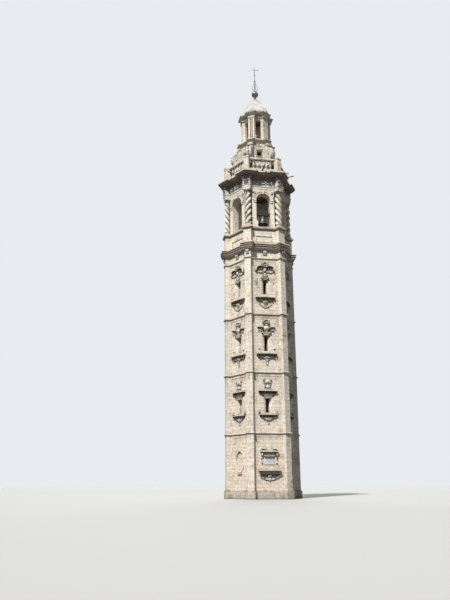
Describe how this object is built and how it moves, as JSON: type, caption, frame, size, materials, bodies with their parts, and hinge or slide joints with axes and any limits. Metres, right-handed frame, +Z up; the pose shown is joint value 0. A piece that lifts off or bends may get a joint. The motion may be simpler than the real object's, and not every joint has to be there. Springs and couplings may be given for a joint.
{
  "type": "bell tower, 1:2 scale model",
  "caption": "Six-sided baroque stone bell tower as a scale model: panelled shaft, arched belfry with twisted columns and a swinging bell, balustrade, drum, lantern and dome.",
  "frame": {"origin": "middle of the foot, at ground level", "axes": "+Z up along the tower's axis; the front face, the one with the pierced windows, looks along -Y; corners of the plan lie on +X and -X"},
  "size_m": [5.0346, 4.86, 28.06],
  "materials": {
    "wall_stone": "worn ashlar limestone, warm cream",
    "dressed_stone": "dressed limestone, pale cream",
    "carved_stone": "carved limestone, dark in its hollows",
    "stained_stone": "weathered limestone with dark crust and rusty streaks",
    "rough_stone": "worn limestone plinth",
    "floor_stone": "worn paving and vault stone",
    "plaque_marble": "white marble, worn",
    "dome_plaster": "lime-rendered masonry",
    "aged_copper": "aged copper, brown",
    "wrought_iron": "forged iron, dark",
    "bell_bronze": "cast bell bronze, brown-green",
    "dark_oak": "weathered oak"
  },
  "bodies": {
    "tower": {"plinth": "rough_stone", "stage_1_walls": "wall_stone", "stage_2_walls": "wall_stone", "stage_3_walls": "wall_stone", "stage_4_walls": "wall_stone", "stage_1_pilasters": "dressed_stone", "stage_2_pilasters": "dressed_stone", "stage_3_pilasters": "dressed_stone", "stage_4_pilasters": "dressed_stone", "stage_1_windows": "carved_stone", "stage_2_windows": "carved_stone", "stage_3_windows": "carved_stone", "stage_4_windows": "carved_stone", "stage_1_plaques": "plaque_marble", "string_courses": "dressed_stone", "floors": "floor_stone", "shaft_frieze": "dressed_stone", "shaft_brackets": "carved_stone", "shaft_cornice": "stained_stone", "belfry_pedestal": "dressed_stone", "belfry_sill": "stained_stone", "belfry_piers": "wall_stone", "belfry_arches": "dressed_stone", "belfry_columns": "carved_stone", "belfry_frieze": "stained_stone", "belfry_cornice": "stained_stone", "water_spouts": "carved_stone", "terrace_floor": "floor_stone", "balustrade_rails": "dressed_stone", "balustrade_posts": "dressed_stone", "balusters": "carved_stone", "drum_walls": "wall_stone", "drum_volutes": "carved_stone", "drum_cornice": "stained_stone", "lantern_base": "dressed_stone", "lantern_piers": "dressed_stone", "lantern_arches": "dressed_stone", "lantern_columns": "carved_stone", "lantern_cornice": "stained_stone", "dome": "dome_plaster", "finial_ball": "aged_copper", "weather_vane": "wrought_iron", "bell_bearings": "wrought_iron"},
    "bell": {"bell": "bell_bronze", "bell_headstock": "dark_oak"}
  },
  "joints": [
    {"name": "bell_swing", "type": "hinge", "parent": "tower", "child": "bell", "pos_m": [0, -1.445, 16.33], "axis": [1, 0, 0], "continuous": true}
  ]
}
